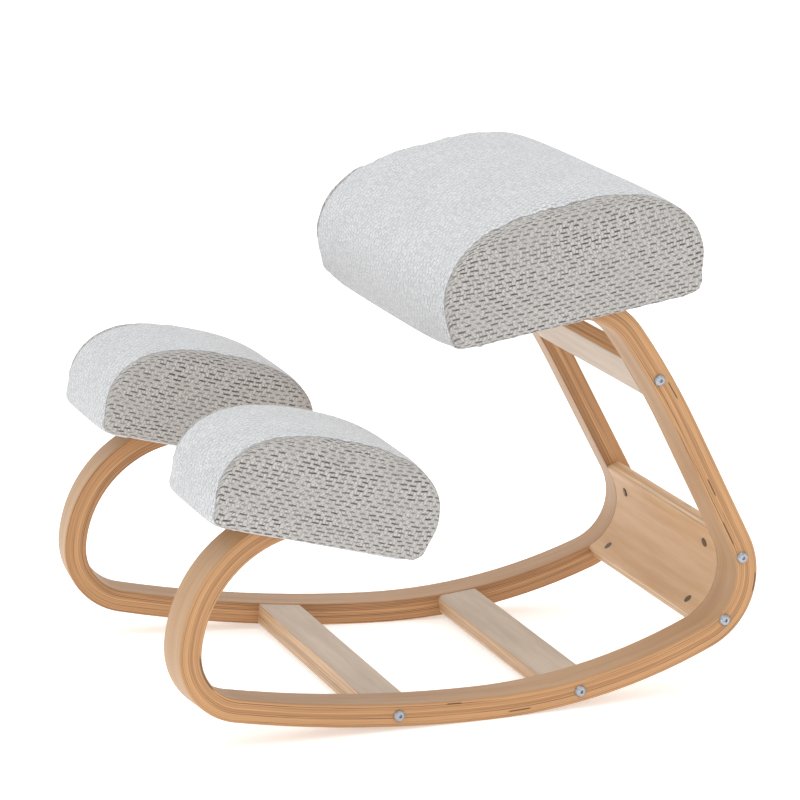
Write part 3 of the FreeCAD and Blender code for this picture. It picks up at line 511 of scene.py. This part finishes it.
def length_round(flat, outline):
    """How far round the pad flat points lie, along its outline from straight down."""
    hub = outline.mean(0)
    under = np.array([hub[0], outline[:, 1].min()])

    def bearing(points):
        return np.mod(np.arctan2(points[:, 1] - hub[1], points[:, 0] - hub[0]) + math.pi / 2, 2 * math.pi)

    ordered = outline[np.argsort(bearing(outline))]
    ring = np.vstack([under, ordered, under])
    turns = np.concatenate([[0.0], bearing(ordered), [2 * math.pi]])
    runs = np.concatenate([[0.0], np.cumsum(np.linalg.norm(np.diff(ring, axis=0), axis=1))])
    return np.interp(bearing(flat), turns, runs)


def settle(piece):
    """Applies a piece's modifiers."""
    graph = bpy.context.evaluated_depsgraph_get()
    evaluated = piece.evaluated_get(graph)
    applied = bpy.data.meshes.new_from_object(evaluated, preserve_all_data_layers=True, depsgraph=graph)
    piece.modifiers.clear()
    piece.data = applied


def vertex_normals(mesh):
    flat = np.empty(len(mesh.vertices) * 3, np.float32)
    mesh.vertex_normals.foreach_get("vector", flat)
    return flat.reshape(-1, 3).astype(float)


def move_to(mesh, places):
    mesh.vertices.foreach_set("co", places.astype(np.float32).ravel())


def weigh(piece, name, weights):
    """A vertex group from a weight for each vertex."""
    group = piece.vertex_groups.new(name=name)
    for index, weight in enumerate(weights):
        if weight > 0.01:
            group.add([index], float(weight), "REPLACE")


def even_skin(name, points):
    """A new object: the closed convex shape round the points, in even small faces."""
    bm = bmesh.new()
    for place in points:
        bm.verts.new(place)
    hull = bmesh.ops.convex_hull(bm, input=bm.verts)
    inner = [v for v in hull["geom_interior"] if isinstance(v, bmesh.types.BMVert)]
    bmesh.ops.delete(bm, geom=inner, context="VERTS")
    bmesh.ops.delete(bm, geom=[v for v in bm.verts if not v.link_faces], context="VERTS")
    blank = bpy.data.meshes.new(name)
    bm.to_mesh(blank)
    bm.free()
    piece = bpy.data.objects.new(name, blank)
    bpy.context.scene.collection.objects.link(piece)
    remesh = piece.modifiers.new("Even", "REMESH")
    remesh.mode, remesh.voxel_size, remesh.use_smooth_shade = "VOXEL", VOXEL, True
    settle(piece)
    return piece


def grow(local, rise, from_side, half_width, pad):
    """The pad's points, moved out to the photographed shape from the plainer CAD cover."""
    x, y, height = local[:, 0], local[:, 1], local[:, 2] - local[:, 2].min()
    middle = (y.min() + y.max()) / 2
    reach = (y - middle) / (np.ptp(y) / 2)
    grown = local.copy()
    grown[:, 1] += np.where(reach < 0, FRONT_GROWTH, pad["rear_growth"]) * reach + CROWN_BACK * rise

    drawn_in = 1 - END_DRAW_IN * np.abs(x / half_width) ** 4.5
    for end, extreme, power in ((-1, y.min(), FRONT_CORNER_POWER), (1, y.max(), REAR_CORNER_POWER)):
        centre = middle + (extreme - middle) * drawn_in - end * (CORNER_DRAW_IN + CORNER)
        out, down = end * (y - centre), CORNER - height
        far = np.hypot(out, down) + 1e-9
        shares = (np.abs(out / far) ** power + np.abs(down / far) ** power) ** (1 / power)
        fuller = np.where((out > 0) & (down > 0), 1 / shares - 1, 0)
        grown[:, 1] += end * out * fuller
        grown[:, 2] -= down * fuller

    near_base = np.clip(1 - height / SAG_HEIGHT, 0, 1)
    near_front = np.clip(1 - (y - y.min()) / FRONT_SAG_REACH, 0, 1) ** 1.5
    across_front = 1 - np.abs(x / half_width) ** 6
    near_side = np.clip(1.2 - from_side / SIDE_SAG_REACH, 0, 1)
    grown[:, 2] -= pad["front_sag"] * near_front * near_base * across_front
    grown[:, 2] -= pad["side_sag"] * near_side * near_base
    return grown


def cushion_blank(name, cover, axes, base, pad):
    """A cover before it is blown up, its points in the pad's frame, and their distance inside the seam."""
    outer = positions(cover.data)
    piece = even_skin(name, outer)

    local_outer = (outer - base) @ axes.T
    half_width = np.abs(local_outer[:, 0]).max()
    at_side = local_outer[np.abs(local_outer[:, 0]) > half_width - 0.0003]
    side_outline = hull_outline(at_side[:, 1:])
    middle_outline = hull_outline(local_outer[:, 1:])

    local = (positions(piece.data) - base) @ axes.T
    into_side = line_distance(local[:, 1:], over_the_top(side_outline))
    into_side[~inside_outline(local[:, 1:] + [0, 0.0015], side_outline)] *= -1
    from_side = half_width - np.abs(local[:, 0])
    from_shoulder = into_side - from_side
    rise = (local[:, 2] - local[:, 2].min()) / np.ptp(local[:, 2])
    seam = from_shoulder + SEAM_WRAP[0] + SEAM_WRAP[1] * np.sin(rise * math.pi / 2)

    mark(piece.data, "pad_place", "FLOAT_VECTOR", "POINT", local)
    mark(piece.data, "seam", "FLOAT", "POINT", seam)
    mark(piece.data, "round_pad", "FLOAT", "POINT", length_round(local[:, 1:], middle_outline))
    mark(piece.data, "side_level", "FLOAT", "POINT", local[:, 2] + from_side * np.where(rise < 0.08, -1, 1))

    grown = grow(local, rise, from_side, half_width, pad)
    move_to(piece.data, base + grown @ axes)
    weigh(piece, "shoulder", np.exp(-((from_shoulder / SHOULDER) ** 2)) * np.clip((rise - 0.06) / 0.12, 0, 1))
    rounding = piece.modifiers.new("Shoulder", "SMOOTH")
    rounding.factor, rounding.iterations, rounding.vertex_group = 0.5, 12, "shoulder"
    settle(piece)
    piece.vertex_groups.clear()
    return piece, grown, seam


def hold(piece, local, seam, opening):
    """Cloth pins: the underside is stapled to the board, and the side seams hold their line a little."""
    level = local[:, 2] - local[:, 2].min()
    stapled = np.where(inside_outline(local[:, :2], opening), np.clip(1 - (level - 0.004) / 0.010, 0, 1), 0)
    sewn = np.clip(1 - np.abs(seam) / 0.004, 0, 1) * 0.12
    weigh(piece, "held", np.maximum(stapled, sewn))


def blow_up(pieces):
    """Fills the covers with pressure, with a cap on how far any point may move."""
    starts = {piece.name: positions(piece.data) for piece in pieces}
    for piece in pieces:
        cloth = piece.modifiers.new("Cloth", "CLOTH")
        cloth.settings.quality = 5
        cloth.settings.mass = 0.3
        cloth.settings.use_pressure = True
        cloth.settings.uniform_pressure_force = 4.0
        cloth.settings.effector_weights.gravity = 0.0
        cloth.settings.vertex_group_mass = "held"
        cloth.collision_settings.use_collision = False
        cloth.point_cache.frame_start = 1
        cloth.point_cache.frame_end = SIM_FRAMES
    for number in range(1, SIM_FRAMES + 1):
        bpy.context.scene.frame_set(number)
    graph = bpy.context.evaluated_depsgraph_get()
    for piece in pieces:
        moved = positions(piece.evaluated_get(graph).data) - starts[piece.name]
        length = np.linalg.norm(moved, axis=1)
        moved *= (np.minimum(length, SWELL_CAP) / np.maximum(length, 1e-9))[:, None]
        piece.modifiers.clear()
        move_to(piece.data, starts[piece.name] + moved)
        piece.data.update()
    bpy.context.scene.frame_set(1)


def nearest_on(outline, point):
    """The place on a closed outline that is nearest to a flat point."""
    places = []
    for a, b in zip(outline, np.roll(outline, -1, axis=0)):
        step = b - a
        share = min(1, max(0, (point - a) @ step / max(step @ step, 1e-12)))
        places.append(a + share * step)
    return min(places, key=lambda place: np.linalg.norm(point - place))


def open_underside(piece, axes, base, opening, wall_to=None):
    """Cuts the recess into a pad's underside, and gives it walls up to a level where wall_to is given."""
    def to_local(place):
        return (np.array(place[:]) - base) @ axes.T

    bm = bmesh.new()
    bm.from_mesh(piece.data)
    low = ((positions(piece.data) - base) @ axes.T)[:, 2].min()
    middles = np.array([to_local(face.calc_center_median()) for face in bm.faces])
    gone = inside_outline(middles[:, :2], opening) & (middles[:, 2] < low + UNDERSIDE)
    bmesh.ops.delete(bm, geom=[face for face, cut in zip(list(bm.faces), gone) if cut], context="FACES")
    rim = [edge for edge in bm.edges if edge.is_boundary]
    for v in {v for edge in rim for v in edge.verts}:
        here = to_local(v.co)
        here[:2] = nearest_on(opening, here[:2])
        v.co = Vector(base + here @ axes)
    if wall_to is not None:
        for v in bmesh.ops.extrude_edge_only(bm, edges=rim)["geom"]:
            if isinstance(v, bmesh.types.BMVert):
                here = to_local(v.co)
                here[2] = wall_to
                v.co = Vector(base + here @ axes)
    bmesh.ops.recalc_face_normals(bm, faces=bm.faces)
    bm.to_mesh(piece.data)
    bm.free()
    piece.data.update()


ROW_PITCH = 0.0046
DASH_PITCH = 0.0112
TOP_YARN = (214, 215, 217)
# The side yarn is darker than the top's as painted shade, for side panels that take less of the overhead light than
# the top.
SHADED_SIDE_YARN = (193, 190, 187)
CROSSING_TONE = (150, 148, 145)
UPRIGHT_TONE = (128, 125, 122)
GAP_TONE = (70, 69, 69)
WARM_TONE = (192, 178, 164)
STITCH_TONE = (92, 92, 94)
TOP_CONTRAST = 0.4  # the top panel's weave shows this strongly beside the sides'
SEAM_PULL, SEAM_PULL_REACH = 0.0014, 0.0035  # the thread draws the fabric in by this, over this distance


def weave(name, seed):
    """Chunky woven fabric: rows of pale yarn tied down over short dark gaps, offset from row to row."""
    sh = Shader(name)

    # Where a point is on its panel: the sides run along and up, and the top panel round the pad and across.
    x, y, _ = sh.split("pad_place")
    seam = sh.value("seam")
    on_side = sh.math("GREATER_THAN", seam, 0.0)
    on_top = sh.math("SUBTRACT", 1.0, on_side)
    along = sh.math("ADD", sh.times(on_side, y), sh.times(on_top, sh.value("round_pad")))
    across = sh.math("ADD", sh.times(on_side, sh.value("side_level")), sh.times(on_top, x))
    place = sh.vector(along, across, sh.math("ADD", on_side, seed))
    across = sh.math("MULTIPLY_ADD", sh.centred(sh.noise(place, 70.0)), 0.0028, across)

    # Rows, and cells of one dark gap each along a row. Every other row is half a cell on, none quite evenly.
    rows = sh.math("DIVIDE", across, ROW_PITCH)
    row = sh.math("FLOOR", rows)
    in_row = sh.math("SUBTRACT", rows, row)
    offset = sh.times(sh.math("FLOORED_MODULO", row, 2.0), 0.5)
    jitter = sh.times(sh.centred(sh.chance(row, seed, on_side)), 0.35)
    sway = sh.times(sh.centred(sh.noise(place, 110.0, 1.0)), 0.5)
    shift = sh.math("ADD", offset, sh.math("ADD", jitter, sway))
    cells = sh.math("ADD", sh.math("DIVIDE", along, DASH_PITCH), shift)
    cell = sh.math("FLOOR", cells)
    in_cell = sh.math("SUBTRACT", cells, cell)
    luck = sh.chance(row, cell, sh.math("ADD", on_side, seed))

    # The gap in the middle of its cell, and the yarns beside it, which stand upright between the rows.
    from_row = sh.apart(in_row, 0.5)
    reach = sh.math("MULTIPLY_ADD", luck, 0.14, 0.18)
    ends = sh.ramp(sh.math("SUBTRACT", sh.apart(in_cell, 0.5), reach), 0.12, -0.04)
    gap = sh.times(sh.ramp(from_row, 0.32, 0.04), ends)
    dash = sh.times(gap, sh.ramp(luck, 0.0, 0.8, 0.5, 1.0))
    yarns = sh.math("COSINE", sh.times(in_cell, 6 * math.pi))
    upright = sh.times(sh.ramp(yarns, -0.2, -1.0), sh.ramp(from_row, 0.12, 0.36))
    crossing = sh.times(sh.ramp(from_row, 0.30, 0.10), 0.35)

    patches = sh.noise(place, 24.0, 3.0, 0.6)
    specks = sh.noise(place, 520.0, 3.0, 0.75)
    strength = sh.math("MULTIPLY_ADD", on_side, 1.0 - TOP_CONTRAST, TOP_CONTRAST)
    strength = sh.times(strength, sh.ramp(patches, 0.3, 0.7, 0.7, 1.1))
    # The side panels take the darker yarn, which is painted shade.
    colour = sh.mix(on_side, linear(*TOP_YARN), linear(*SHADED_SIDE_YARN))
    colour = sh.mix(sh.times(crossing, strength), colour, linear(*CROSSING_TONE))
    colour = sh.mix(sh.times(upright, sh.times(strength, 0.75)), colour, linear(*UPRIGHT_TONE))
    colour = sh.mix(sh.times(dash, strength), colour, linear(*GAP_TONE))
    warm = sh.times(sh.ramp(sh.noise(place, 190.0, 1.0), 0.35, 0.7), sh.times(on_side, 0.14))
    colour = sh.mix(warm, colour, linear(*WARM_TONE))
    colour = sh.shade(colour, sh.ramp(specks, 0.30, 0.70, 0.74, 1.14))
    colour = sh.shade(colour, sh.ramp(patches, 0.25, 0.75, 0.93, 1.05))

    stitched = sh.ramp(sh.math("ABSOLUTE", seam), 0.0014, 0.0004)
    stitched = sh.times(stitched, sh.math("MULTIPLY_ADD", luck, 0.4, 0.35))
    colour = sh.mix(stitched, colour, linear(*STITCH_TONE))

    bulge = sh.math("SUBTRACT", sh.times(yarns, -0.15), sh.times(gap, 0.9))
    height = sh.math("ADD", bulge, sh.times(specks, 0.7))
    sh.surface.inputs["Sheen Weight"].default_value = 0.15
    sh.surface.inputs["Specular IOR Level"].default_value = 0.2
    return sh.finish(colour, 0.93, height, depth=0.0012, strength=0.7)


def foam_material():
    """Moulded foam: a grey skin with fine open pores."""
    sh = Shader("moulded_foam")
    place = sh.add("ShaderNodeTexCoord").outputs["Object"]
    pores = sh.add("ShaderNodeTexVoronoi", {"Vector": place, "Scale": 700.0}).outputs["Distance"]
    patches = sh.noise(place, 40.0, 2.0)
    colour = sh.mix(sh.ramp(pores, 0.1, 0.5), linear(150, 148, 144), linear(184, 182, 178))
    colour = sh.shade(colour, sh.ramp(patches, 0.3, 0.7, 0.95, 1.02))
    return sh.finish(colour, 0.95, pores, depth=0.0005, strength=0.5)


foam_look = foam_material()
covers = {}
for name, pad in PADS.items():
    axes, base = local_to(nodes[f"{name}_board"].data)
    piece, local, seam = cushion_blank(f"{name}_pad_cover", nodes[f"{name}_cover"], axes, base, pad)
    board = (positions(nodes[f"{name}_board"].data) - base) @ axes.T
    opening = hull_outline(board[:, :2])
    hold(piece, local, seam, opening)
    move_to(piece.data, positions(piece.data) - COVER_SHRINK * vertex_normals(piece.data))
    covers[name] = piece, axes, base, seam, opening
blow_up([cover[0] for cover in covers.values()])

for name, (piece, axes, base, seam, opening) in covers.items():
    pulled = SEAM_PULL * np.exp(-((seam / SEAM_PULL_REACH) ** 2))
    move_to(piece.data, positions(piece.data) - pulled[:, None] * vertex_normals(piece.data))
    piece.vertex_groups.clear()

    foam = bpy.data.objects.new(f"{name}_pad_foam", piece.data.copy())
    bpy.context.scene.collection.objects.link(foam)
    move_to(foam.data, positions(foam.data) - (FABRIC + FOAM_GAP) * vertex_normals(piece.data))
    open_underside(foam, axes, base, opening, wall_to=RECESS_WALL_TOP)
    dress(foam, foam_look)
    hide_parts(f"{name}_foam")
    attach(foam, "root")

    open_underside(piece, axes, base, opening)
    thick = piece.modifiers.new("Fabric", "SOLIDIFY")
    thick.thickness, thick.offset = FABRIC, -1.0
    smooth = piece.modifiers.new("Smooth", "SUBSURF")
    smooth.levels = smooth.render_levels = 1
    settle(piece)
    piece.data.shade_smooth()
    dress(piece, weave(f"{name}_weave", PADS[name]["seed"]))
    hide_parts(f"{name}_cover")
    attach(piece, "root")


# The studio: a plain pale floor that runs out to white, a white surround, a broad soft light overhead and a
# weaker one from the camera's left.
FLOOR_REACH = 30.0
corners = [(x * FLOOR_REACH, y * FLOOR_REACH, 0) for x, y in ((-1, -1), (1, -1), (1, 1), (-1, 1))]
floor_mesh = bpy.data.meshes.new("floor")
floor_mesh.from_pydata(corners, [], [(0, 1, 2, 3)])
floor = bpy.data.objects.new("floor", floor_mesh)
bpy.context.scene.collection.objects.link(floor)
paper = Shader("studio_floor")
floor_tone = paper.noise(paper.add("ShaderNodeTexCoord").outputs["Object"], 0.4, 2.0)
floor_colour = paper.mix(floor_tone, linear(252, 252, 252), linear(254, 254, 254))
dress(floor, paper.finish(floor_colour, 0.9))
paper.surface.inputs["Emission Color"].default_value = (1, 1, 1, 1)
paper.surface.inputs["Emission Strength"].default_value = 0.40

world = bpy.data.worlds.new("surround")
world.use_nodes = True
world.node_tree.nodes["Background"].inputs["Color"].default_value = (1, 1, 1, 1)
world.node_tree.nodes["Background"].inputs["Strength"].default_value = 1.0
bpy.context.scene.world = world


def soft_light(name, place, aim, across, watts):
    lamp = bpy.data.lights.new(name, "AREA")
    lamp.shape, lamp.size, lamp.energy = "DISK", across, watts
    holder = bpy.data.objects.new(name, lamp)
    bpy.context.scene.collection.objects.link(holder)
    holder.location = place
    holder.rotation_euler = (Vector(aim) - Vector(place)).to_track_quat("-Z", "Y").to_euler()


soft_light("overhead", (0.4, -0.3, 3.2), (0, 0, 0.3), across=3.0, watts=23)
soft_light("left_fill", (2.6, -3.4, 2.2), (0, 0, 0.3), across=2.4, watts=9)

# The camera stands where the photograph was taken from, far off with a long lens and very slightly rolled.
EYE = (4.5272, -1.4941, 1.3561)
TARGET = (0.0, -0.0082, 0.3037)
ROLL = math.radians(0.234)
lens = bpy.data.cameras.new("camera")
lens.sensor_width, lens.lens = 36.0, 199.6
camera = bpy.data.objects.new("camera", lens)
bpy.context.scene.collection.objects.link(camera)
camera.location = EYE
aimed = (Vector(TARGET) - Vector(EYE)).to_track_quat("-Z", "Y")
camera.rotation_mode = "QUATERNION"
camera.rotation_quaternion = aimed @ Quaternion((0, 0, 1), ROLL)
bpy.context.scene.camera = camera
bpy.context.scene.view_settings.view_transform = "Standard"
